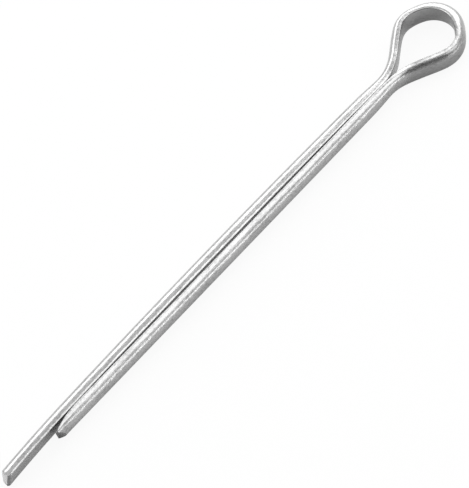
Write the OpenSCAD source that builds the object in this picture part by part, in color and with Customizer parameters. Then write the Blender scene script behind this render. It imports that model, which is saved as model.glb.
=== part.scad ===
// Cotter pin, size 1/8 x 2 1/2 inch, extended prong.
//
// One length of half-round wire with its flat face turned inwards. From the
// tip of the long leg it runs along the shank, bends out at a neck, and goes
// round a shoulder, a crown and a heel that close the eye. A second neck
// brings it back along itself as the short leg. The two legs together make a
// round shank that passes through a drilled hole.
//
// Frame: +X runs along the shank from the eye to the tips, +Z stands up from
// the flat loop of the eye, and the short leg lies on the +Y side. The origin
// is on the axis of the shank, where the long leg leaves its neck bend.

/* [Shank] */
// Diameter of the shank, over both legs
shank_d = 3.0; // [2.6:0.1:4]
// Gap between the flat faces of the two legs
leg_gap = 0.2; // [0.1:0.05:0.4]
// Rounding along the two long edges of the wire
edge_r = 0.25; // [0.1:0.05:0.35]
// From the origin to the tip of the short leg, at the middle of its flat face
short_reach = 60.4; // [20:0.1:120]
// How far the long leg runs on past the short one
prong = 8.2; // [3:0.1:15]

/* [Eye] */
// Bend radius of the long leg's neck, at the flat face
long_neck_r = 9.5; // [8:0.5:14]
// Turn of the long leg's neck, outwards
long_neck_turn = 33; // [29:1:38]
// Bend radius of the flank between that neck and the shoulder
flank_r = 67; // [40:1:90]
// Turn of that flank, inwards
flank_turn = 3; // [1:1:4]
// Bend radius of the shoulder
shoulder_r = 2.8; // [2:0.1:4.5]
// Turn of the shoulder, inwards
shoulder_turn = 50; // [44:1:58]
// Bend radius of the flatter stretch before the crown
crown_lead_r = 36; // [20:1:60]
// Turn of the flatter stretch before the crown
crown_lead_turn = 2; // [1:1:3]
// Bend radius of the crown, the far end of the eye
crown_r = 2.6; // [2.2:0.1:3.8]
// Turn of the crown, inwards
crown_turn = 115; // [108:1:122]
// Bend radius of the flatter stretch after the crown
crown_trail_r = 46; // [25:1:60]
// Turn of the flatter stretch after the crown
crown_trail_turn = 2; // [1:1:4]
// Bend radius of the heel, on the short leg's side
heel_r = 3.2; // [2.5:0.1:4.5]
// Turn of the long sweep that closes the eye after the heel
closing_turn = 2; // [1:1:3]
// Bend radius of the short leg's neck
short_neck_r = 8.5; // [6:0.5:14]
// Turn of the short leg's neck, outwards
short_neck_turn = 29; // [25:1:34]

/* [Tips] */
// Lean of the short leg's sheared end, back from square
short_lean = 25; // [0:1:35]
// Height above the flat face at which the short leg's bevel starts
short_bevel_at = 0.5; // [0.3:0.1:1.1]
// Lean of the short leg's bevel, back from square
short_bevel = 45; // [36:1:55]
// Rake of the short leg's cuts, its upper edge ahead
short_rake = 20; // [0:1:30]
// Lean of the long leg's sheared end, back from square
long_lean = 12; // [0:1:35]
// Height above the flat face at which the long leg's bevel starts
long_bevel_at = 0.8; // [0.3:0.1:1.1]
// Lean of the long leg's bevel, back from square
long_bevel = 38; // [36:1:55]
// Rake of the long leg's cuts, its upper edge ahead
long_rake = 8; // [0:1:30]

/* [Hidden] */
SECTION_FN = 64;
EDGE_FN = 32;
BEND_FN = 120;

// The round side of both legs is struck from the axis of the shank
round_r = shank_d / 2;
axis_drop = leg_gap / 2;
// Centre of each edge rounding: in from the flat face, and up from mid-height
edge_in = edge_r;
edge_up = sqrt(pow(round_r - edge_r, 2) - pow(edge_in + axis_drop, 2));
// A point well outside the wire, on the line through both centres at the upper edge
past_edge = 2 * [edge_in + axis_drop, edge_up] - [axis_drop, 0];

// What the heel still has to turn, so that the short leg runs back along +X
heel_turn = 180 + long_neck_turn + short_neck_turn - flank_turn - shoulder_turn
    - crown_lead_turn - crown_turn - crown_trail_turn - closing_turn;
// Each row of a bend table is a radius at the flat face and a turn, outwards if negative
TO_HEEL = [
    [long_neck_r, -long_neck_turn],
    [flank_r, flank_turn],
    [shoulder_r, shoulder_turn],
    [crown_lead_r, crown_lead_turn],
    [crown_r, crown_turn],
    [crown_trail_r, crown_trail_turn],
    [heel_r, heel_turn],
];
// A pose is x, y and the angle of travel; the wire lies to the left of its path
EYE_START = [0, -leg_gap / 2, 180];
// The closing sweep is as wide as brings the short leg to its own side of the gap
closing_drop = along(TO_HEEL, EYE_START).y - leg_gap / 2 - short_neck_r * (1 - cos(short_neck_turn));
closing_r = closing_drop / (cos(short_neck_turn - closing_turn) - cos(short_neck_turn));
BENDS = concat(TO_HEEL, [[closing_r, closing_turn], [short_neck_r, -short_neck_turn]]);
short_start = along(BENDS, EYE_START).x;
long_reach = short_reach + prong;

function heading(angle) = [cos(angle), sin(angle)];

function bend_centre(pose, r, turn) =
    [pose.x, pose.y] + r * heading(pose.z - 90 * sign(turn));

function bend_end(pose, r, turn) =
    let (end = bend_centre(pose, r, turn) + r * heading(pose.z + 90 * sign(turn) - turn))
    [end.x, end.y, pose.z - turn];

// The pose after every row of a bend table, from row i on
function along(rows, pose, i = 0) =
    i == len(rows) ? pose : along(rows, bend_end(pose, rows[i][0], rows[i][1]), i + 1);

// The first rows of a bend table
function first(rows, count) = [for (i = [0 : 1 : count - 1]) rows[i]];

// Moves in a step of whole hundredths and then the rest, so that joined faces lie flush
module at(place) {
    whole = [for (v = place) round(v * 100) / 100];
    translate(whole) translate(place - whole) children();
}

// One rounded edge of the section, a wedge of a disc
module section_edge() {
    intersection() {
        at([edge_in, edge_up]) circle(edge_r, $fn = EDGE_FN);
        polygon([[edge_in, edge_up], past_edge, [-edge_in, past_edge.y], [-edge_in, edge_up]]);
    }
}

// The half-round section: flat face on x = 0, round side towards +X
module wire_section() {
    intersection() {
        translate([-axis_drop, 0]) circle(round_r, $fn = SECTION_FN);
        polygon([
            [edge_in, -edge_up],
            [past_edge.x, -past_edge.y],
            [shank_d, -past_edge.y],
            [shank_d, past_edge.y],
            past_edge,
            [edge_in, edge_up],
        ]);
    }
    polygon([[0, -edge_up], [edge_in, -edge_up], [edge_in, edge_up], [0, edge_up]]);
    section_edge();
    mirror([0, 1]) section_edge();
}

// Wire bent from a pose, round the eye or, with a negative turn, outwards
module bent_wire(pose, r, turn) {
    centre = bend_centre(pose, r, turn);
    start = turn > 0 ? pose.z + 90 - turn : pose.z - 90;
    at([centre.x, centre.y, 0])
        rotate_extrude(angle = abs(turn), start = start, $fn = BEND_FN)
        at([r, 0])
        mirror([turn > 0 ? 0 : 1, 0])
        wire_section();
}

// The loop of the eye with both necks
module eye() {
    for (i = [0 : len(BENDS) - 1])
        bent_wire(along(first(BENDS, i), EYE_START), BENDS[i][0], BENDS[i][1]);
}

// Everything past a raked plane that leans back from square, from a height above the flat face
module past_plane(height, lean, rake) {
    translate([0, height, 0])
        rotate([0, rake, lean])
        translate([0, -shank_d * 2, -shank_d * 2])
        cube(shank_d * 4);
}

// One leg on the +Y side of the gap, sheared at its tip
module leg(start, reach, lean, bevel_at, bevel, rake) {
    difference() {
        at([start, leg_gap / 2, 0])
            rotate([90, 0, 90])
            linear_extrude(reach + shank_d - start)
            wire_section();
        translate([reach, leg_gap / 2, 0]) past_plane(0, lean, rake);
        translate([reach - bevel_at * tan(lean), leg_gap / 2, 0]) past_plane(bevel_at, bevel, rake);
    }
}

// The whole pin, one piece of bright plated wire
module cotter_pin() {
    color("silver") {
        eye();
        leg(short_start, short_reach, short_lean, short_bevel_at, short_bevel, short_rake);
        mirror([0, 1, 0]) leg(0, long_reach, long_lean, long_bevel_at, long_bevel, long_rake);
    }
}

cotter_pin();
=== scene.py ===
"""A cotter pin: one bent length of bright plated half-round wire.

Lengths are in millimetres until a mesh is written, and in metres after that.
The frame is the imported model's: +X along the shank from the eye to the tips,
+Z up from the flat loop of the eye, the short leg on the +Y side.
"""

import logging
import math
from dataclasses import dataclass, field
from enum import Enum, IntEnum

import bmesh
import bpy
import numpy as np
from mathutils import Matrix, Quaternion, Vector


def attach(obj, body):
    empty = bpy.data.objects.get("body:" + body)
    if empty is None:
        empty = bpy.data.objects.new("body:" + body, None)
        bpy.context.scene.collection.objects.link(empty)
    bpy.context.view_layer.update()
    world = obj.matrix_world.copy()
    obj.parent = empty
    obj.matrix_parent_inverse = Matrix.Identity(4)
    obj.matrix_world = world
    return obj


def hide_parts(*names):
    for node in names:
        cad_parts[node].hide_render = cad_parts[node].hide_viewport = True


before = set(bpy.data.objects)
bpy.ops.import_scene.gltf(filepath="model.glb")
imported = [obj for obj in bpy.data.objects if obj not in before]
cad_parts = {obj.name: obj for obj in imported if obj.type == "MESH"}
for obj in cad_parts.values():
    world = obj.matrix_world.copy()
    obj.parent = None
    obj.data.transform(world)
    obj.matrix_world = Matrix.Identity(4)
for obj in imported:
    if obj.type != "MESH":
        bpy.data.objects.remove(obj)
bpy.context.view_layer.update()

MM = 0.001
# The section of the drawn wire: from mid-height to an edge, and from the flat face to the crest
HALF_HEIGHT = 1.45
THICKNESS = 1.36
log = logging.getLogger("cotter_pin")

Points = np.ndarray
Socket = bpy.types.NodeSocket
Triple = tuple[float, float, float]


class Turn(Enum):
    """Which way a bend goes, seen while travelling from the long leg round the eye."""

    INWARDS = 1
    OUTWARDS = -1


class Leg(Enum):
    """The two legs of the pin, by the side of the gap that each lies on."""

    LONG = -1
    SHORT = 1


class Slot(IntEnum):
    """The material slots of the pin's mesh."""

    PLATED = 0
    # Sheared steel whose pale colour is partly painted light
    SHEARED = 1
    # Torn steel: rough like a fracture, its dark colour partly painted shade
    TORN = 2


class Channel(Enum):
    """Named attributes that the swept wire carries."""

    SPINE = "spine"
    OUTWARD = "outward"
    PROFILE = "profile"
    THINNING = "thinning"
    TWIST = "twist"
    LEAN = "lean"
    # Marks the stretch of the eye whose colour is darkened with painted shade
    RUBBED = "rubbed"
    ALONG = "along"
    DRAWN = "drawn"


def grey(tone: float) -> Triple:
    """Returns a neutral colour."""
    return (tone, tone, tone)


def smoothstep(value: Points) -> Points:
    """Returns value clipped to 0..1 and eased at both ends."""
    clipped = np.clip(value, 0.0, 1.0)
    return clipped * clipped * (3.0 - 2.0 * clipped)


def heading(angle: float) -> Points:
    """Returns the unit vector at an angle in radians."""
    return np.array([math.cos(angle), math.sin(angle)])


def arc_lengths(points: Points) -> Points:
    """Returns the distance travelled at each point of a polyline."""
    return np.concatenate([[0.0], np.cumsum(np.linalg.norm(np.diff(points, axis=0), axis=1))])


def shown(name: str, data: bpy.types.ID) -> bpy.types.Object:
    """Puts a new object into the scene.

    Args:
        name: The object's name.
        data: Its mesh, lamp or lens.

    Returns:
        The object.
    """
    made = bpy.data.objects.new(name, data)
    bpy.context.scene.collection.objects.link(made)
    return made


@dataclass(frozen=True)
class Bend:
    """One stretch of bent wire, measured at the flat face.

    Attributes:
        radius: Bend radius in mm.
        degrees: How far the stretch turns.
        turn: Whether it turns into the eye or away from it.
    """

    radius: float
    degrees: float
    turn: Turn = Turn.INWARDS


@dataclass
class WirePath:
    """The line that the middle of the flat face follows, from one tip to the other.

    Attributes:
        long_neck: The long leg's neck.
        flank: The side of the eye after it.
        shoulder: The bend from the flank to the crown.
        crown_lead: The flatter stretch before the crown.
        crown: The far end of the eye.
        crown_trail: The flatter stretch after the crown.
        heel_radius: Bend radius of the heel, on the short side.
        closing_degrees: Turn of the long sweep after the heel.
        short_neck: The short leg's neck.
        start_y: Y at which the long leg meets its neck.
        end_y: Y at which the short leg meets its neck.
        long_leg: Length laid out for the long leg, past its tip.
        short_leg: Length laid out for the short leg, past its tip.
        long_splay: Direction of the long leg at its neck, in degrees from +X.
        short_splay: Direction of the short leg at its neck, in degrees from +X.
        bow_radius: Radius of the long leg's slight bow.
        prong_from: How far down the long leg its end bends a little more.
        prong_radius: Radius of that extra bend.
        easing: Spread over which one bend runs into the next.
        easing_reach: How many spreads the easing takes in to each side.
        eye_step: Spacing of the points round the eye.
        leg_step: Spacing of the points along the legs.
        fade_in: How far outside the eye the wire begins to get thinner.
        thin_over: Length over which it does.
        untwist_over: Length of neck over which the shank's twist fades out.
        long_extra_twist: Share of twist on top in the middle of the long leg.
        short_extra_twist: The same in the middle of the short leg.
        extra_twist_over: Length of leg that the extra twist spans.
        lean_at: How far round from the long leg the wire leans most.
        lean_over: Length to each side over which the lean fades out.
        shade_from: Where the stretch of painted shade begins, before the short leg.
        shade_to: Where it ends, before the short leg.
        shade_fade: Length over which each of its ends fades.
    """

    long_neck: Bend = Bend(9.5, 33.5, Turn.OUTWARDS)
    flank: Bend = Bend(66.8, 3.3)
    shoulder: Bend = Bend(2.82, 50.1)
    crown_lead: Bend = Bend(35.6, 1.8)
    crown: Bend = Bend(2.65, 115.0)
    crown_trail: Bend = Bend(46.3, 2.2)
    heel_radius: float = 3.19
    closing_degrees: float = 2.2
    short_neck: Bend = Bend(8.7, 29.0, Turn.OUTWARDS)
    start_y: float = 0.14
    end_y: float = 0.085
    long_leg: float = 73.0
    short_leg: float = 65.0
    long_splay: float = -1.26
    short_splay: float = -0.12
    bow_radius: float = 1530.0
    prong_from: float = 56.5
    prong_radius: float = 300.0
    easing: float = 0.6
    easing_reach: float = 3.0
    eye_step: float = 0.25
    leg_step: float = 0.5
    fade_in: float = 3.5
    thin_over: float = 6.5
    untwist_over: float = 6.0
    long_extra_twist: float = 0.34
    short_extra_twist: float = 0.14
    extra_twist_over: float = 66.0
    lean_at: float = 15.5
    lean_over: float = 6.0
    # Where the painted shade lies on the eye, before the short leg
    shade_from: float = 12.5
    shade_to: float = 1.5
    shade_fade: float = 2.5

    def points(self) -> tuple[Points, dict[Channel, Points]]:
        """Lays out the whole wire.

        Returns:
            The points from the long tip to the short tip, and by channel
            how far each has its share of what happens along the wire.
        """
        eye = self._trace(self._bends())
        bow, crook = 1 / self.bow_radius, 1 / self.prong_radius
        long_leg = self._leg(eye[0], self.long_splay, self.long_leg, bow, crook)[::-1]
        short_leg = self._leg(eye[-1], self.short_splay, self.short_leg)
        joined = np.concatenate([long_leg, eye[1:-1], short_leg])
        travel = arc_lengths(joined)
        eye_from = travel[len(long_leg) - 1]
        eye_to = travel[len(long_leg) + len(eye) - 2]
        even = np.arange(0.0, travel[-1], self.eye_step)
        line = self._eased(
            np.stack([np.interp(even, travel, joined[:, i]) for i in (0, 1)], axis=1))
        trim = (len(even) - len(line)) // 2
        even = even[trim : trim + len(line)]
        shares = self._shares(even - eye_from, eye_to - even)
        leg_stride = round(self.leg_step / self.eye_step)
        keep = (shares[Channel.THINNING] > 0) | (np.arange(len(even)) % leg_stride == 0)
        return line[keep], {channel: share[keep] for channel, share in shares.items()}

    def _bends(self) -> list[Bend]:
        """Works out the heel and the closing sweep, so that the eye closes.

        Returns:
            Every bend in order, from the long leg to the short one.
        """
        to_heel = [self.long_neck, self.flank, self.shoulder,
                   self.crown_lead, self.crown, self.crown_trail]
        turned = sum(b.degrees * b.turn.value for b in [*to_heel, self.short_neck])
        turned += self.closing_degrees
        heel = Bend(self.heel_radius, 180.0 + self.long_splay - self.short_splay - turned)

        def closed(radius: float) -> list[Bend]:
            """Returns every bend, with a given radius of the closing sweep."""
            return [*to_heel, heel, Bend(radius, self.closing_degrees), self.short_neck]

        # The wire's end moves evenly with that radius, so two trials give the right one
        small, large = 1.0, 2.0
        one, two = (self._trace(closed(radius))[-1][1] for radius in (small, large))
        return closed(small + (large - small) * (self.end_y - one) / (two - one))

    def _trace(self, bends: list[Bend], steps: int = 32) -> Points:
        """Follows a chain of bends from the start of the eye.

        Args:
            bends: The bends in order.
            steps: Points on each bend.

        Returns:
            The points, one row each.
        """
        place = np.array([0.0, self.start_y])
        angle = math.pi + math.radians(self.long_splay)
        points = [place]
        for bend in bends:
            side = bend.turn.value
            sweep = math.radians(bend.degrees) * side
            centre = place + bend.radius * heading(angle - side * math.pi / 2)
            for step in range(1, steps + 1):
                spoke = angle + side * math.pi / 2 - sweep * step / steps
                points.append(centre + bend.radius * heading(spoke))
            place = points[-1]
            angle -= sweep
        return np.array(points)

    def _leg(self, start: Points, splay: float, length: float,
             bow: float = 0.0, crook: float = 0.0) -> Points:
        """Lays out a leg from its neck to its tip.

        Args:
            start: Where the leg leaves its neck.
            splay: Direction at the neck, in degrees from +X.
            length: Length to lay out, past the sheared tip.
            bow: Curvature of the slight bow, in 1/mm.
            crook: Curvature that the prong has on top of it, in 1/mm.

        Returns:
            The points, one row each.
        """
        travel = np.arange(0.0, length + self.leg_step, self.leg_step)
        on_prong = np.maximum(travel - self.prong_from, 0.0)
        angle = math.radians(splay) + travel * bow + on_prong * crook
        middle = (angle[1:] + angle[:-1]) / 2
        ways = np.stack([np.cos(middle), np.sin(middle)], axis=1)
        steps = np.diff(travel)[:, None] * ways
        return start + np.concatenate([[[0.0, 0.0]], np.cumsum(steps, axis=0)])

    def _eased(self, points: Points) -> Points:
        """Runs one bend softly into the next, as springy wire does, with a moving average.

        Args:
            points: The line, at the eye's spacing.

        Returns:
            The eased line, shorter by the average's reach at both ends.
        """
        reach = math.ceil(self.easing_reach * self.easing / self.eye_step)
        offsets = np.arange(-reach, reach + 1) * self.eye_step
        weights = np.exp(-0.5 * (offsets / self.easing) ** 2)
        weights /= weights.sum()
        return np.stack([np.convolve(points[:, i], weights, "valid") for i in (0, 1)], axis=1)

    def _shares(self, into: Points, left: Points) -> dict[Channel, Points]:
        """Works out what happens where along the wire.

        Args:
            into: How far each point lies past the start of the eye.
            left: How far each point lies before its end.

        Returns:
            How far each point is thinner, twisted, leaning and darkened with painted shade.
        """
        begun = np.clip((into + self.fade_in) / self.thin_over, 0.0, 1.0)
        going_on = np.clip((left + self.fade_in) / self.thin_over, 0.0, 1.0)
        twist = smoothstep(1.0 - np.minimum(into, left) / self.untwist_over)
        for down, extra in ((-into, self.long_extra_twist), (-left, self.short_extra_twist)):
            along = np.clip(down / self.extra_twist_over, 0.0, 1.0)
            twist += extra * np.sin(math.pi * along)
        lean = smoothstep(1.0 - np.abs(into - self.lean_at) / self.lean_over)
        # Painted shade: a stretch of the eye before the short leg is darkened, standing in for dark
        # reflections there
        rubbed = smoothstep((self.shade_from - left) / self.shade_fade)
        rubbed *= smoothstep((left - self.shade_to) / self.shade_fade)
        return {
            Channel.THINNING: smoothstep(begun * going_on) * (1.0 - lean),
            Channel.TWIST: twist,
            Channel.LEAN: lean,
            Channel.RUBBED: rubbed,
        }


@dataclass
class WireSection:
    """The half-round section of the wire: flat face at 0, round side outwards.

    Attributes:
        round_radius: Radius of the round side.
        axis_drop: How far behind the flat face the round side's centre lies.
        edge_radius: Rounding of the two long edges.
        eye_squareness: How square the tools press the round side in the eye; 2 is round.
        crest_steps: Points on the round side.
        edge_steps: Points on each rounded edge.
        flat_steps: Points on the flat face.
    """

    round_radius: float = 1.49
    axis_drop: float = 0.11
    edge_radius: float = 0.13
    eye_squareness: float = 2.4
    crest_steps: int = 60
    edge_steps: int = 8
    flat_steps: int = 12

    def outline(self) -> Points:
        """Draws the closed outline, anticlockwise from the lower edge.

        Returns:
            Rows of (out, up, out in the eye).
        """
        edge_in = self.edge_radius
        from_axis = edge_in + self.axis_drop
        edge_up = math.sqrt((self.round_radius - self.edge_radius) ** 2 - from_axis**2)
        spread = math.atan2(edge_up, from_axis)
        crest = [self.round_radius * heading(angle) - [self.axis_drop, 0.0]
                 for angle in np.linspace(-spread, spread, self.crest_steps)]
        upper = [[edge_in, edge_up] + self.edge_radius * heading(angle)
                 for angle in np.linspace(spread, math.pi, self.edge_steps)[1:]]
        flat = [np.array([0.0, up])
                for up in np.linspace(edge_up, -edge_up, self.flat_steps)[1:-1]]
        lower = [np.array([out, -up]) for out, up in reversed(upper)]
        outline = np.array(crest + upper + flat + lower)
        in_eye = outline[:, 0].copy()
        in_eye[: len(crest)] = self._pressed(outline[: len(crest)])
        return np.column_stack([outline, in_eye])

    def _pressed(self, crest: Points) -> Points:
        """Presses the round side squarer, as the tools do in the eye.

        Args:
            crest: The round side, from edge to edge.

        Returns:
            How far out each of its points lies then.
        """
        edge_out, edge_up = np.abs(crest[-1])
        level = np.minimum(np.abs(crest[:, 1]) / edge_up, 1.0)
        swell = (1.0 - level**self.eye_squareness) ** (1 / self.eye_squareness)
        return edge_out + (max(crest[:, 0]) - edge_out) * swell


@dataclass(frozen=True)
class Cut:
    """One flat facet that the blades left on a tip.

    Attributes:
        height: Height above the flat face of a point of the facet, in mm.
        back: How far behind the tip that point lies, in mm.
        lean: How far the facet leans back towards the round side, in degrees.
        rake: How far its upper edge runs ahead of upright, in degrees.
        finish: What the facet is left with.
    """

    height: float
    back: float
    lean: float
    rake: float
    finish: Slot = Slot.SHEARED

    def normal(self, outward: Vector) -> Vector:
        """Works out which way the facet faces.

        Args:
            outward: Direction from the flat face to the round side.

        Returns:
            The facet's normal, away from the wire.
        """
        lean, rake = math.radians(self.lean), math.radians(self.rake)
        square = Vector((math.cos(rake), 0.0, -math.sin(rake)))
        return square * math.cos(lean) + outward * math.sin(lean)


@dataclass(frozen=True)
class Shear:
    """How the cutting blades left the end of one leg.

    Attributes:
        leg: The leg that was cut.
        reach: X of the tip at the flat face, in mm.
        cuts: The facets, the tip's main face first.
        roll_back: How far before the tip the blade began to drag the metal down, in mm.
        roll_drop: How far it dragged the top down at the tip, in mm.
        roll_aside: How far it pushed the flat side away from the gap there, in mm.
        rim: Radius of the edges of the facets, in mm; the dark torn finish that they get is partly
            painted shade.
        rim_steps: Strips along each of those edges.
        rim_profile: How full each is rounded, between 0 and 1.
        aside_back: How far before the tip the push aside began, in mm.
        behind: Length of leg that counts as its end, in mm.
        flat_within: How close to the tip the flat face is looked for, in mm.
    """

    leg: Leg
    reach: float
    cuts: tuple[Cut, ...]
    roll_back: float
    roll_drop: float
    roll_aside: float
    rim: float
    rim_steps: int = 2
    rim_profile: float = 0.6
    aside_back: float = 4.5
    behind: float = 4.0
    flat_within: float = 0.6

    def apply(self, mesh: bmesh.types.BMesh, outward: Vector) -> None:
        """Cuts the leg's end off along every facet and closes it.

        Args:
            mesh: The wire, in mm, with open ends.
            outward: Direction from the flat face to the round side.
        """
        near = [v for v in self._end(mesh) if abs(v.co.x - self.reach) < self.flat_within]
        flat = outward * min(v.co.dot(outward) for v in near)
        tip = Vector((self.reach, flat.y, flat.z))
        self._roll_over(mesh, outward)
        for cut in self.cuts:
            place = tip + outward * cut.height - Vector((cut.back, 0.0, 0.0))
            self._cut_once(mesh, place, cut.normal(outward), cut.finish)
        end = self._end(mesh)
        sheared = [f for f in mesh.faces
                   if f.material_index != Slot.PLATED and end.issuperset(f.verts)]
        rims = list(dict.fromkeys(e for f in sheared for e in f.edges))
        # The rims take the dark torn finish: painted shade along the tips' edges
        bmesh.ops.bevel(mesh, geom=rims, offset=self.rim, segments=self.rim_steps,
                        profile=self.rim_profile, affect="EDGES", clamp_overlap=True,
                        material=Slot.TORN)

    def _cut_once(self, mesh: bmesh.types.BMesh, place: Vector, normal: Vector,
                  finish: Slot) -> None:
        """Cuts everything past one plane off the leg and closes the opening.

        Args:
            mesh: The wire, in mm.
            place: A point of the plane.
            normal: The plane's normal, away from the wire.
            finish: The material slot of the new facet.
        """
        end = self._end(mesh)
        faces = [f for f in mesh.faces if end.issuperset(f.verts)]
        edges = dict.fromkeys(e for f in faces for e in f.edges)
        verts = dict.fromkeys(v for f in faces for v in f.verts)
        bmesh.ops.bisect_plane(mesh, geom=[*faces, *edges, *verts],
                               plane_co=place, plane_no=normal, clear_outer=True)
        end = self._end(mesh)
        opening = [e for e in mesh.edges if e.is_boundary and end.issuperset(e.verts)]
        cap = bmesh.ops.contextual_create(mesh, geom=opening)["faces"][0]
        cap.material_index = finish

    def _roll_over(self, mesh: bmesh.types.BMesh, outward: Vector) -> None:
        """Drags the top and the flat side in towards the tip, as the blade does before it bites.

        Args:
            mesh: The wire, in mm.
            outward: Direction from the flat face to the round side.
        """
        drawn = mesh.verts.layers.float_vector[Channel.DRAWN.value]
        for vert in self._end(mesh):
            before = self.reach - vert.co.x
            near = min(max(1.0 - before / self.roll_back, 0.0), 1.0)
            pull = 1.0 - math.sqrt(1.0 - near * near)
            push = min(max(1.0 - before / self.aside_back, 0.0), 1.0) ** 2
            up = (vert[drawn].y / MM / HALF_HEIGHT + 1.0) / 2
            flatness = 1.0 - vert[drawn].x / MM / THICKNESS
            vert.co.z -= pull * self.roll_drop * up
            vert.co += outward * (push * self.roll_aside * flatness)

    def _end(self, mesh: bmesh.types.BMesh) -> set[bmesh.types.BMVert]:
        """Picks out the end of this leg.

        Args:
            mesh: The wire, in mm.

        Returns:
            The vertices of this leg that lie close to its tip or past it.
        """
        drawn = mesh.verts.layers.float_vector[Channel.DRAWN.value]
        middle = max(v[drawn].z for v in mesh.verts) / 2
        short = self.leg is Leg.SHORT
        past = self.reach - self.behind
        return {v for v in mesh.verts if v.co.x > past and (v[drawn].z > middle) == short}


class TreeBuilder:
    """Adds and links nodes in one node tree."""

    def __init__(self, tree: bpy.types.NodeTree) -> None:
        """Takes the tree to fill and clears it."""
        self.tree = tree
        tree.nodes.clear()

    def add(self, kind: str, inputs: dict[str | int, object] | None = None,
            **settings: object) -> bpy.types.Node:
        """Adds a node.

        Args:
            kind: Blender's node type.
            inputs: Input sockets by name or number, each a value or an output socket to link.
            **settings: Properties of the node itself.

        Returns:
            The new node.
        """
        node = self.tree.nodes.new(kind)
        for name, value in settings.items():
            setattr(node, name, value)
        for name, value in (inputs or {}).items():
            if isinstance(value, bpy.types.NodeSocket):
                self.tree.links.new(value, node.inputs[name])
            else:
                node.inputs[name].default_value = value
        return node

    def math(self, operation: str, *values: Socket | float) -> Socket:
        """Returns the result of a maths node."""
        return self.add("ShaderNodeMath", dict(enumerate(values)), operation=operation).outputs[0]

    def vector(self, operation: str, *values: object) -> Socket:
        """Returns the vector that a vector maths node makes."""
        inputs = dict(enumerate(values))
        return self.add("ShaderNodeVectorMath", inputs, operation=operation).outputs[0]

    def scaled(self, vector: Socket, factor: Socket | float) -> Socket:
        """Returns a vector times a number."""
        inputs = {"Vector": vector, "Scale": factor}
        return self.add("ShaderNodeVectorMath", inputs, operation="SCALE").outputs[0]

    def less(self, share: Socket, loss: Socket | float) -> Socket:
        """Returns what is left of 1 after a share of a loss."""
        return self.math("SUBTRACT", 1.0, self.math("MULTIPLY", share, loss))

    def split(self, vector: Socket) -> bpy.types.NodeOutputs:
        """Returns the three coordinates of a vector."""
        return self.add("ShaderNodeSeparateXYZ", {0: vector}).outputs

    def noise(self, vector: Socket, per_metre: Triple, detail: float) -> Socket:
        """Returns noise with its own number of features per metre along each axis."""
        inputs = {"Vector": self.vector("MULTIPLY", vector, per_metre), "Scale": 1.0,
                  "Detail": detail}
        return self.add("ShaderNodeTexNoise", inputs).outputs[0]

    def ramp(self, tone: Socket, low: Triple, high: Triple,
             stops: tuple[float, float] = (0.0, 1.0)) -> Socket:
        """Runs from one colour to another.

        Args:
            tone: What picks the colour.
            low: The colour at the first stop.
            high: The colour at the second stop.
            stops: The two values of the tone.

        Returns:
            The colour.
        """
        node = self.add("ShaderNodeValToRGB", {"Fac": tone})
        for element, stop, colour in zip(node.color_ramp.elements, stops, (low, high)):
            element.position = stop
            element.color = (*colour, 1)
        return node.outputs[0]

    def metal(self, colour: Socket, roughness: Socket | float, bump: bpy.types.Node) -> None:
        """Ends the tree in a metal's surface.

        Args:
            colour: What the metal reflects.
            roughness: How rough it is.
            bump: The node that makes its fine relief.
        """
        shader = self.add("ShaderNodeBsdfPrincipled", {
            "Base Color": colour, "Metallic": 1.0, "Roughness": roughness,
            "Normal": bump.outputs[0]})
        self.add("ShaderNodeOutputMaterial", {"Surface": shader.outputs[0]})


def blank_material(name: str) -> tuple[bpy.types.Material, TreeBuilder]:
    """Starts a material.

    Args:
        name: The material's name.

    Returns:
        The material and what fills its tree.
    """
    made = bpy.data.materials.new(name)
    made.use_nodes = True
    return made, TreeBuilder(made.node_tree)


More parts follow.
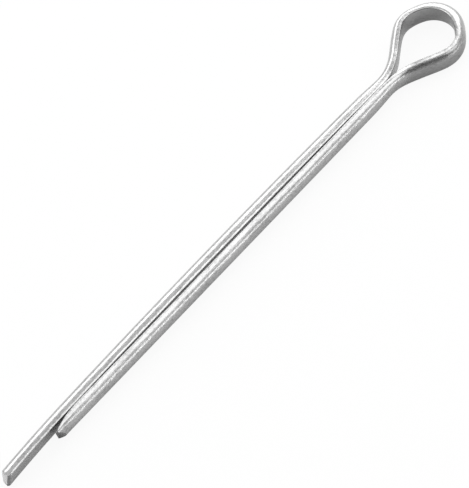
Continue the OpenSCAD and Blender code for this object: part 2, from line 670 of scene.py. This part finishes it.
class SweepBuilder(TreeBuilder):
    """Adds and links the nodes that sweep the wire."""

    def __init__(self, tree: bpy.types.NodeTree) -> None:
        """Takes the tree to fill, clears it and finds its inputs."""
        super().__init__(tree)
        self.given = self.add("NodeGroupInput").outputs

    def read(self, channel: Channel, kind: str = "FLOAT") -> Socket:
        """Returns the socket of a named attribute."""
        inputs = {"Name": channel.value}
        return self.add("GeometryNodeInputNamedAttribute", inputs, data_type=kind).outputs[0]

    def store(self, geometry: Socket, channel: Channel, value: Socket) -> Socket:
        """Returns geometry that carries a vector under a channel's name."""
        inputs = {"Geometry": geometry, "Name": channel.value, "Value": value}
        return self.add("GeometryNodeStoreNamedAttribute", inputs, data_type="FLOAT_VECTOR",
                        domain="POINT").outputs[0]

    def curve(self, edges: Socket, channel: Channel) -> Socket:
        """Returns a chain of edges as a curve that remembers, in a channel, where it ran."""
        marked = self.store(edges, channel, self.add("GeometryNodeInputPosition").outputs[0])
        return self.add("GeometryNodeMeshToCurve", {"Mesh": marked}).outputs[0]

    def tube(self) -> Socket:
        """Sweeps the section along the path.

        Returns:
            The plain tube.
        """
        path = self.curve(self.given["Path"], Channel.SPINE)
        upright = self.add("GeometryNodeSetCurveNormal", {"Curve": path}, mode="Z_UP")
        section = self.add("GeometryNodeObjectInfo", {"Object": self.given["Section"]})
        loop = self.curve(section.outputs["Geometry"], Channel.PROFILE)
        return self.add("GeometryNodeCurveToMesh", {
            "Curve": upright.outputs[0], "Profile Curve": loop, "Fill Caps": False}).outputs[0]

    def place(self) -> Socket:
        """Works out where each point of the tube goes.

        The wire is thinner and squarer round the eye, its far branch leans
        inwards, and the shank is turned about its axis.

        Returns:
            The place of each point.
        """
        profile = self.split(self.read(Channel.PROFILE, "FLOAT_VECTOR"))
        thinning = self.read(Channel.THINNING)
        depth = self.depth(profile, thinning)
        kept_up = self.less(thinning, self.given["Eye Thinner Up"])
        height = self.math("MULTIPLY", profile[1], kept_up)
        lean = self.math("MULTIPLY", self.read(Channel.LEAN), self.given["Crown Lean"])
        above_foot = self.math("ADD", height, self.given["Lean Foot"])
        sine = self.math("SINE", lean)
        leant_out = self.math("SUBTRACT", depth, self.math("MULTIPLY", above_foot, sine))
        leant_up = self.math("ADD", height, self.math("MULTIPLY", depth, sine))
        out = self.scaled(self.read(Channel.OUTWARD, "FLOAT_VECTOR"), leant_out)
        up = self.add("ShaderNodeCombineXYZ", {2: leant_up}).outputs[0]
        spine = self.read(Channel.SPINE, "FLOAT_VECTOR")
        place = self.vector("ADD", spine, self.vector("ADD", out, up))
        angle = self.math("MULTIPLY", self.read(Channel.TWIST), self.given["Shank Twist"])
        return self.add("ShaderNodeVectorRotate", {"Vector": place, "Angle": angle},
                        rotation_type="X_AXIS").outputs[0]

    def depth(self, profile: bpy.types.NodeOutputs, thinning: Socket) -> Socket:
        """Works out how far outside the spine each point lies.

        Args:
            profile: The section's (out, up, out in the eye).
            thinning: The share of what bending does in the eye.

        Returns:
            The depth, less where the wire is thinner or its flat face swells.
        """
        level = self.math("DIVIDE", profile[1], self.given["Half Height"])
        crowned = self.less(level, level)
        drawn_share = self.math("DIVIDE", profile[0], self.given["Thickness"])
        flatness = self.math("SUBTRACT", 1.0, drawn_share)
        full = self.math("MULTIPLY", crowned, flatness)
        swell = self.math("MULTIPLY", full, self.given["Eye Bulge"])
        inwards = self.math("MULTIPLY", swell, thinning)
        squarer = self.math("SUBTRACT", profile[2], profile[0])
        round_side = self.math("ADD", profile[0], self.math("MULTIPLY", squarer, thinning))
        kept = self.less(thinning, self.given["Eye Thinner Out"])
        return self.math("SUBTRACT", self.math("MULTIPLY", round_side, kept), inwards)

    def mark_drawn(self, geometry: Socket) -> Socket:
        """Marks where each point lay in the straight wire, before it was bent.

        Args:
            geometry: The bent wire.

        Returns:
            The wire with its marks, on which the finish is laid out.
        """
        profile = self.split(self.read(Channel.PROFILE, "FLOAT_VECTOR"))
        inputs = {0: profile[0], 1: profile[1], 2: self.read(Channel.ALONG)}
        straight = self.add("ShaderNodeCombineXYZ", inputs).outputs[0]
        return self.store(geometry, Channel.DRAWN, straight)


@dataclass
class SweepTree:
    """The Geometry Nodes tree that sweeps the section along the path.

    Attributes:
        thinner_out: Share by which the wire is thinner in the eye, from its flat face out.
        thinner_up: Share by which it is lower there.
        bulge: How far the flat face swells there, in mm.
        twist_degrees: Turn of the shank about its axis.
        lean_degrees: How far the far branch of the eye leans inwards.
        lean_foot: Depth about which it leans, as a share of the half height.
    """

    thinner_out: float = 0.20
    thinner_up: float = 0.08
    bulge: float = 0.12
    twist_degrees: float = -14.0
    lean_degrees: float = 15.0
    lean_foot: float = 0.8

    def inputs(self) -> dict[str, float]:
        """Returns the sizes that the tree's named inputs take."""
        return {
            "Eye Thinner Out": self.thinner_out,
            "Eye Thinner Up": self.thinner_up,
            "Eye Bulge": self.bulge * MM,
            "Half Height": HALF_HEIGHT * MM,
            "Thickness": THICKNESS * MM,
            "Shank Twist": math.radians(self.twist_degrees),
            "Crown Lean": math.radians(self.lean_degrees),
            "Lean Foot": self.lean_foot * HALF_HEIGHT * MM,
        }

    def build(self) -> bpy.types.NodeTree:
        """Builds the tree.

        Returns:
            The node group, with named inputs for its sizes.
        """
        tree = bpy.data.node_groups.new("swept_wire", "GeometryNodeTree")
        kinds = {"Path": "Geometry", "Section": "Object", "Plate": "Material"}
        kinds |= {name: "Float" for name in self.inputs()}
        for name, kind in kinds.items():
            tree.interface.new_socket(name, in_out="INPUT", socket_type="NodeSocket" + kind)
        tree.interface.new_socket("Wire", in_out="OUTPUT", socket_type="NodeSocketGeometry")
        nodes = SweepBuilder(tree)
        moved = nodes.add("GeometryNodeSetPosition", {
            "Geometry": nodes.tube(), "Position": nodes.place()})
        marked = nodes.mark_drawn(moved.outputs[0])
        smooth = nodes.add("GeometryNodeSetShadeSmooth", {"Geometry": marked})
        real = nodes.add("GeometryNodeRealizeInstances", {"Geometry": smooth.outputs[0]})
        plated = nodes.add("GeometryNodeSetMaterial", {
            "Geometry": real.outputs[0], "Material": nodes.given["Plate"]})
        nodes.add("NodeGroupOutput", {"Wire": plated.outputs[0]})
        return tree


@dataclass(frozen=True)
class ZincPlate:
    """Bright zinc over drawn steel wire, with faint draw lines, a fine grain and a stretch of
    painted shade.

    Attributes:
        name: The material's name.
        light: Colour of the brightest grain.
        dark: Colour of the darkest grain.
        tone_stops: Where the grain's tone turns from dark to light.
        line_scale: Draw lines per metre, out, up and along the wire.
        grain_scale: Grains per metre, out, up and along the wire.
        cloud_scale: Clouds per metre, out, up and along the wire.
        fine_detail: Detail of the lines and the grain.
        cloud_detail: Detail of the clouds.
        grain_share: Share of the tone that the grain has; the clouds have the rest.
        roughness: Roughness of the plate.
        smoothest: How much smoother the smoothest grain is.
        roughest: How much rougher the roughest grain is.
        line_relief: Height of the draw lines beside the grain's.
        relief: Height of the grain, in metres.
        shade_darkens: Share of its colour that the stretch of painted shade loses.
        shade_roughens: How much rougher that stretch is.
        shade_depth: How far out from the flat face the painted shade is full, in mm.
    """

    name: str = "bright_zinc"
    light: Triple = grey(0.43)
    dark: Triple = grey(0.29)
    tone_stops: tuple[float, float] = (0.34, 0.52)
    line_scale: Triple = (9000, 9000, 90)
    grain_scale: Triple = (5000, 5000, 2500)
    cloud_scale: Triple = (500, 500, 250)
    fine_detail: float = 3.0
    cloud_detail: float = 2.0
    grain_share: float = 0.6
    roughness: float = 0.15
    smoothest: float = 0.04
    roughest: float = 0.10
    line_relief: float = 0.5
    relief: float = 0.000018
    # Painted shade on the stretch of the eye before the short leg, made rougher as well
    shade_darkens: float = 0.34
    shade_roughens: float = 0.14
    shade_depth: float = 1.38

    def material(self) -> bpy.types.Material:
        """Builds the finish.

        Returns:
            The material.
        """
        made, nodes = blank_material(self.name)
        drawn = nodes.add("ShaderNodeAttribute", attribute_name=Channel.DRAWN.value)
        drawn = drawn.outputs["Vector"]
        lines = nodes.noise(drawn, self.line_scale, self.fine_detail)
        grain = nodes.noise(drawn, self.grain_scale, self.fine_detail)
        cloud = nodes.noise(drawn, self.cloud_scale, self.cloud_detail)
        tone = nodes.math("ADD", nodes.math("MULTIPLY", grain, self.grain_share),
                          nodes.math("MULTIPLY", cloud, 1 - self.grain_share))
        bright = nodes.ramp(tone, self.dark, self.light, self.tone_stops)
        # Painted shade: the stretch before the short leg is darkened towards its round side and
        # made rougher
        rubbed = nodes.add("ShaderNodeAttribute", attribute_name=Channel.RUBBED.value)
        outside = nodes.math("DIVIDE", nodes.split(drawn)[0], self.shade_depth * MM)
        shaded = nodes.math("MULTIPLY", rubbed.outputs["Fac"], outside)
        colour = nodes.scaled(bright, nodes.less(shaded, self.shade_darkens))
        smooth = nodes.add("ShaderNodeMapRange", {
            "Value": grain, "To Min": self.roughness - self.smoothest,
            "To Max": self.roughness + self.roughest}).outputs[0]
        rough = nodes.math("ADD", smooth, nodes.math("MULTIPLY", shaded, self.shade_roughens))
        height = nodes.math("ADD", nodes.math("MULTIPLY", lines, self.line_relief), grain)
        bump = nodes.add("ShaderNodeBump", {
            "Strength": 1.0, "Distance": self.relief, "Height": height})
        nodes.metal(colour, rough, bump)
        return made


@dataclass(frozen=True)
class BareSteel:
    """The bare face where the blades cut the wire.

    Attributes:
        name: The material's name.
        colour: Colour of the brightest streaks.
        roughness: Roughness of the face.
        streak_scale: Streaks per metre along X, Y and Z.
        streak_detail: Detail of the streaks.
        dark_share: Colour of the darkest streaks, as a share of the brightest.
        tone_stops: Where the streaks turn from dark to light.
        strength: How strongly the streaks' relief shows.
        relief: Height of the streaks, in metres.
    """

    name: str
    colour: Triple
    roughness: float
    streak_scale: Triple = (2500, 9000, 1200)
    streak_detail: float = 3.0
    dark_share: float = 0.6
    tone_stops: tuple[float, float] = (0.3, 0.7)
    strength: float = 0.7
    relief: float = 0.00002

    def material(self) -> bpy.types.Material:
        """Builds the finish.

        Returns:
            The material.
        """
        made, nodes = blank_material(self.name)
        place = nodes.add("ShaderNodeTexCoord").outputs["Object"]
        streaks = nodes.noise(place, self.streak_scale, self.streak_detail)
        dark = tuple(self.dark_share * part for part in self.colour)
        colour = nodes.ramp(streaks, dark, self.colour, self.tone_stops)
        bump = nodes.add("ShaderNodeBump", {
            "Strength": self.strength, "Distance": self.relief, "Height": streaks})
        nodes.metal(colour, self.roughness, bump)
        return made


# Each facet is given by its height, back, lean and rake, and by its finish where it is not the
# default; the dark torn finish is partly painted shade, the pale sheared one partly painted light
LONG_TIP = Shear(
    Leg.LONG,
    reach=68.4,
    cuts=(Cut(0.0, 0.0, 6.0, 8.0), Cut(0.9, 0.1, 38.0, 8.0),
          Cut(0.0, 0.38, -50.0, 8.0, Slot.TORN)),
    roll_back=0.3, roll_drop=0.06, roll_aside=0.0,
    rim=0.07,
)
SHORT_TIP = Shear(
    Leg.SHORT,
    reach=60.8,
    cuts=(Cut(0.0, 0.0, 18.0, 22.0, Slot.TORN), Cut(0.6, 0.28, 48.0, 22.0, Slot.TORN),
          Cut(0.72, 0.42, -45.0, 22.0, Slot.TORN)),
    roll_back=0.4, roll_drop=0.25, roll_aside=0.72,
    rim=0.10,
)


@dataclass
class CotterPin:
    """The pin itself: path, section, sheared tips and finishes.

    Vertices closer together than merge_within, in mm, become one, and edges
    are crisp from crisp_degrees on.
    """

    path: WirePath = field(default_factory=WirePath)
    section: WireSection = field(default_factory=WireSection)
    sweep: SweepTree = field(default_factory=SweepTree)
    tips: tuple[Shear, ...] = (LONG_TIP, SHORT_TIP)
    plate: ZincPlate = ZincPlate()
    # Sheared steel: bare steel made paler than its own colour, partly a painted reflection of the
    # lit floor
    sheared: BareSteel = BareSteel("sheared_steel", grey(0.75), 0.42)
    # Torn steel: rough like a fracture, and darker for painted shade of the shadowed floor and
    # edges that it mirrors
    torn_and_shade: BareSteel = BareSteel("torn_steel", grey(0.30), 0.5)
    merge_within: float = 0.001
    crisp_degrees: float = 35.0

    def build(self) -> bpy.types.Object:
        """Sweeps, shears and plates the wire.

        Returns:
            The finished pin, one closed mesh.
        """
        wire = self._swept()
        self._shear(wire)
        for finish in (self.sheared, self.torn_and_shade):
            wire.data.materials.append(finish.material())
        wire.data.set_sharp_from_angle(angle=math.radians(self.crisp_degrees))
        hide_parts("cotter_pin")
        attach(wire, "root")
        return wire

    def _swept(self) -> bpy.types.Object:
        """Runs the sweep.

        Returns:
            The wire with open ends, as a plain mesh.
        """
        path, section, tree = self._path_object(), self._section_object(), self.sweep.build()
        modifier = path.modifiers.new("sweep", "NODES")
        modifier.node_group = tree
        values = {"Section": section, "Plate": self.plate.material(), **self.sweep.inputs()}
        for item in tree.interface.items_tree:
            if item.in_out == "INPUT" and item.name in values:
                modifier[item.identifier] = values[item.name]
        graph = bpy.context.evaluated_depsgraph_get()
        mesh = bpy.data.meshes.new_from_object(path.evaluated_get(graph))
        path.modifiers.remove(modifier)
        for spent in (path, section):
            bpy.data.objects.remove(spent)
        mesh.name = "pin_wire"
        return shown(mesh.name, mesh)

    def _path_object(self) -> bpy.types.Object:
        """Lays out the path.

        Returns:
            A chain of edges with its attributes, in metres.
        """
        line, shares = self.path.points()
        tangent = np.gradient(line, axis=0)
        tangent /= np.linalg.norm(tangent, axis=1)[:, None]
        level = np.zeros(len(line))
        outward = np.stack([-tangent[:, 1], tangent[:, 0], level], axis=1)
        places = np.column_stack([line, level]) * MM
        edges = [(i, i + 1) for i in range(len(places) - 1)]
        mesh = bpy.data.meshes.new("wire_path")
        mesh.from_pydata(places.tolist(), edges, [])
        for channel, values in {**shares, Channel.ALONG: arc_lengths(line) * MM}.items():
            attribute = mesh.attributes.new(channel.value, "FLOAT", "POINT")
            attribute.data.foreach_set("value", values)
        attribute = mesh.attributes.new(Channel.OUTWARD.value, "FLOAT_VECTOR", "POINT")
        attribute.data.foreach_set("vector", outward.ravel())
        return shown(mesh.name, mesh)

    def _section_object(self) -> bpy.types.Object:
        """Lays out the section.

        Returns:
            A loop of edges, in metres.
        """
        places = self.section.outline() * MM
        edges = [(i, (i + 1) % len(places)) for i in range(len(places))]
        mesh = bpy.data.meshes.new("wire_section")
        mesh.from_pydata(places.tolist(), edges, [])
        return shown(mesh.name, mesh)

    def _shear(self, wire: bpy.types.Object) -> None:
        """Cuts both tips and leaves the wire a closed mesh with its faces outwards.

        Args:
            wire: The wire with open ends.
        """
        shape = bmesh.new()
        shape.from_mesh(wire.data)
        bmesh.ops.scale(shape, vec=(1 / MM,) * 3, verts=shape.verts)
        angle = math.radians(self.sweep.twist_degrees)
        for tip in self.tips:
            outward = Vector((0, math.cos(angle), math.sin(angle))) * tip.leg.value
            tip.apply(shape, outward)
        bmesh.ops.remove_doubles(shape, verts=shape.verts, dist=self.merge_within)
        bmesh.ops.recalc_face_normals(shape, faces=shape.faces)
        bmesh.ops.scale(shape, vec=(MM,) * 3, verts=shape.verts)
        shape.to_mesh(wire.data)
        shape.free()


@dataclass(frozen=True)
class SoftBox:
    """One soft studio lamp.

    Attributes:
        name: What the lamp does.
        toward: Direction from the pin to the lamp.
        distance: How far away it stands, in metres.
        size: Width and height, in metres.
        brightness: How bright its face looks, where a white surface is 1.
    """

    name: str
    toward: Triple
    distance: float
    size: tuple[float, float]
    brightness: float

    def place(self, target: Vector) -> None:
        """Puts the lamp into the scene.

        Args:
            target: The point that it faces.
        """
        lamp = bpy.data.lights.new(self.name, "AREA")
        lamp.shape = "RECTANGLE"
        lamp.size, lamp.size_y = self.size
        lamp.energy = self.brightness * math.pi * self.size[0] * self.size[1]
        made = shown(self.name, lamp)
        made.location = target + Vector(self.toward).normalized() * self.distance
        made.rotation_euler = (target - made.location).to_track_quat("-Z", "Y").to_euler()


@dataclass(frozen=True)
class Sheet:
    """A plain rectangle of the studio, by its name, and its width and height in metres."""

    name: str
    size: tuple[float, float]

    def lay(self, middle: Vector, turn: Quaternion,
            material: bpy.types.Material) -> bpy.types.Object:
        """Puts the sheet into the scene.

        Args:
            middle: Where its middle lies.
            turn: How it is turned from lying flat.
            material: Its finish.

        Returns:
            The sheet, its place in its mesh.
        """
        half, tall = self.size[0] / 2, self.size[1] / 2
        corners = [(-half, -tall), (half, -tall), (half, tall), (-half, tall)]
        places = [middle + turn @ Vector((*corner, 0.0)) for corner in corners]
        mesh = bpy.data.meshes.new(self.name)
        mesh.from_pydata(places, [], [(0, 1, 2, 3)])
        mesh.materials.append(material)
        return shown(self.name, mesh)


@dataclass(frozen=True)
class Card:
    """A plain grey card on a stand, which gives bright metal its darker side.

    Attributes:
        toward: Direction from the pin to the card.
        distance: How far away it stands, in metres.
        sheet: The card's name and size.
        low: How pale the card is at its foot.
        high: How pale it is at its top.
    """

    toward: Triple = (0.35, 0.76, 0.52)
    distance: float = 0.5
    sheet: Sheet = Sheet("grey_card", (0.74, 0.64))
    low: float = 0.45
    high: float = 0.10

    def place(self, target: Vector) -> None:
        """Stands the card up, out of the camera's sight.

        Args:
            target: The point that it faces.
        """
        turn = (-Vector(self.toward)).to_track_quat("-Z", "Y")
        middle = target + Vector(self.toward).normalized() * self.distance
        card = self.sheet.lay(middle, turn, self._material())
        card.visible_camera = False
        card.visible_shadow = False

    def _material(self) -> bpy.types.Material:
        """Builds the card's finish.

        Returns:
            A matt grey that gets darker towards the top.
        """
        made, nodes = blank_material(self.sheet.name)
        rise = nodes.split(nodes.add("ShaderNodeTexCoord").outputs["Generated"])[2]
        face = nodes.add("ShaderNodeBsdfDiffuse", {
            "Color": nodes.ramp(rise, grey(self.low), grey(self.high))})
        nodes.add("ShaderNodeOutputMaterial", {"Surface": face.outputs[0]})
        return made


@dataclass(frozen=True)
class Floor:
    """The plain pale floor, and the even white that stands round it.

    Attributes:
        sheet: The floor's name and size.
        level: Height of the floor, in metres.
        paper: Colour of the floor.
        fill: How much light comes from all round, where a white surface is 1.
        direct_veil: How far the camera sees plain white in place of the floor.
        mirrored_veil: How far bright metal sees it.
    """

    sheet: Sheet = Sheet("floor", (1.6, 1.6))
    level: float = -0.00149
    paper: Triple = grey(0.92)
    fill: float = 0.55
    direct_veil: float = 0.92
    mirrored_veil: float = 0.15

    def place(self, target: Vector) -> None:
        """Lays the floor and fills the space round it.

        Args:
            target: The point that the floor lies under.
        """
        middle = Vector((target.x, 0.0, self.level))
        floor = self.sheet.lay(middle, Quaternion(), self._material())
        world = bpy.data.worlds.new("studio")
        bpy.context.scene.world = world
        world.use_nodes = True
        nodes = TreeBuilder(world.node_tree)
        seen = nodes.add("ShaderNodeMapRange", {
            "Value": self._seen(nodes), "To Min": self.fill, "To Max": 1.0})
        back = nodes.add("ShaderNodeBackground", {
            "Color": (*grey(1), 1), "Strength": seen.outputs[0]})
        nodes.add("ShaderNodeOutputWorld", {"Surface": back.outputs[0]})

    def _material(self) -> bpy.types.Material:
        """Builds the floor's finish.

        Returns:
            Matt paper under a veil of white.
        """
        made, nodes = blank_material("pale_floor")
        paper = nodes.add("ShaderNodeBsdfDiffuse", {"Color": (*self.paper, 1)})
        white = nodes.add("ShaderNodeEmission", {"Color": (*grey(1), 1), "Strength": 1.0})
        rays = nodes.add("ShaderNodeLightPath").outputs
        mirrored = nodes.math("MULTIPLY", self._seen(nodes), self.mirrored_veil)
        direct = nodes.math("MULTIPLY", rays["Is Camera Ray"], self.direct_veil)
        veil = nodes.math("MAXIMUM", mirrored, direct)
        both = nodes.add("ShaderNodeMixShader", {0: veil, 1: paper.outputs[0], 2: white.outputs[0]})
        nodes.add("ShaderNodeOutputMaterial", {"Surface": both.outputs[0]})
        return made

    @staticmethod
    def _seen(nodes: TreeBuilder) -> Socket:
        """Tells what is seen from what only lights the pin.

        Args:
            nodes: What fills the tree.

        Returns:
            1 for what is seen, directly or mirrored or through glass, and 0 for the rest.
        """
        rays = nodes.add("ShaderNodeLightPath").outputs
        mirrored = nodes.math("MAXIMUM", rays["Is Glossy Ray"], rays["Is Transmission Ray"])
        return nodes.math("MAXIMUM", rays["Is Camera Ray"], mirrored)


@dataclass
class Viewpoint:
    """The camera over the pin.

    Attributes:
        azimuth: Direction in which it looks, in degrees from +X.
        elevation: How far down it looks, in degrees.
        roll: How far it is turned about its own line of sight, in degrees.
        distance: How far from its target it stands, in metres.
        focal_pixels: Focal length, in pixels of the frame.
        frame_width: Width of the frame, in pixels.
        sensor: Width of the sensor, in mm.
    """

    azimuth: float = 221.905
    elevation: float = 50.042
    roll: float = -5.687
    distance: float = 0.600
    focal_pixels: float = 5341.2
    frame_width: int = 469
    sensor: float = 36.0

    def place(self, target: Vector) -> None:
        """Puts the camera into the scene.

        Args:
            target: The point that it looks at.
        """
        turn, tilt, lean = (math.radians(v) for v in (self.azimuth, self.elevation, self.roll))
        forward = Vector((math.cos(turn) * math.cos(tilt), math.sin(turn) * math.cos(tilt),
                          -math.sin(tilt)))
        right = forward.cross(Vector((0, 0, 1))).normalized()
        up = right.cross(forward)
        across = right * math.cos(lean) + up * math.sin(lean)
        above = -right * math.sin(lean) + up * math.cos(lean)
        lens = bpy.data.cameras.new("camera")
        lens.sensor_width = self.sensor
        lens.sensor_fit = "HORIZONTAL"
        lens.lens = self.focal_pixels / self.frame_width * self.sensor
        camera = shown("camera", lens)
        axes = Matrix((across, above, -forward)).transposed().to_4x4()
        camera.matrix_world = Matrix.Translation(target - forward * self.distance) @ axes
        bpy.context.scene.camera = camera


@dataclass
class Studio:
    """Lamps, grey card, floor and camera, all set up round one target, in metres."""

    target: Vector = field(default_factory=lambda: Vector((27.779, 0.162, 0.0)) * MM)
    lamps: tuple[SoftBox, ...] = (
        SoftBox("overhead_softbox", (-0.478, 0.562, 0.675), 0.5, (0.25, 0.26), 1.52),
        SoftBox("top_softbox", (-0.478, -0.061, 0.876), 0.5, (0.19, 0.26), 2.1),
        SoftBox("right_strip", (-0.478, 0.878, 0.026), 0.6, (0.50, 0.08), 3.0),
        SoftBox("far_strip", (-0.478, -0.840, 0.257), 0.6, (0.40, 0.24), 2.3),
        SoftBox("far_softbox", (-0.865, -0.315, 0.391), 0.6, (0.50, 0.455), 1.9),
        SoftBox("left_softbox", (0.62, -0.52, 0.59), 0.6, (0.50, 0.60), 1.9),
    )
    card: Card = Card()
    floor: Floor = Floor()
    view: Viewpoint = field(default_factory=Viewpoint)

    def build(self) -> None:
        """Sets everything up round the pin."""
        for part in (*self.lamps, self.card, self.floor, self.view):
            part.place(self.target)
        bpy.context.scene.view_settings.view_transform = "Standard"


def main() -> None:
    """Builds the studio and the pin, and logs how many lamps and faces they have."""
    logging.basicConfig(level=logging.INFO, format="%(name)s: %(message)s")
    studio = Studio()
    studio.build()
    log.info("studio: %d lamps, a grey card and a floor", len(studio.lamps))
    pin = CotterPin().build()
    log.info("%s: %d faces", pin.name, len(pin.data.polygons))


if __name__ == "__main__":
    main()
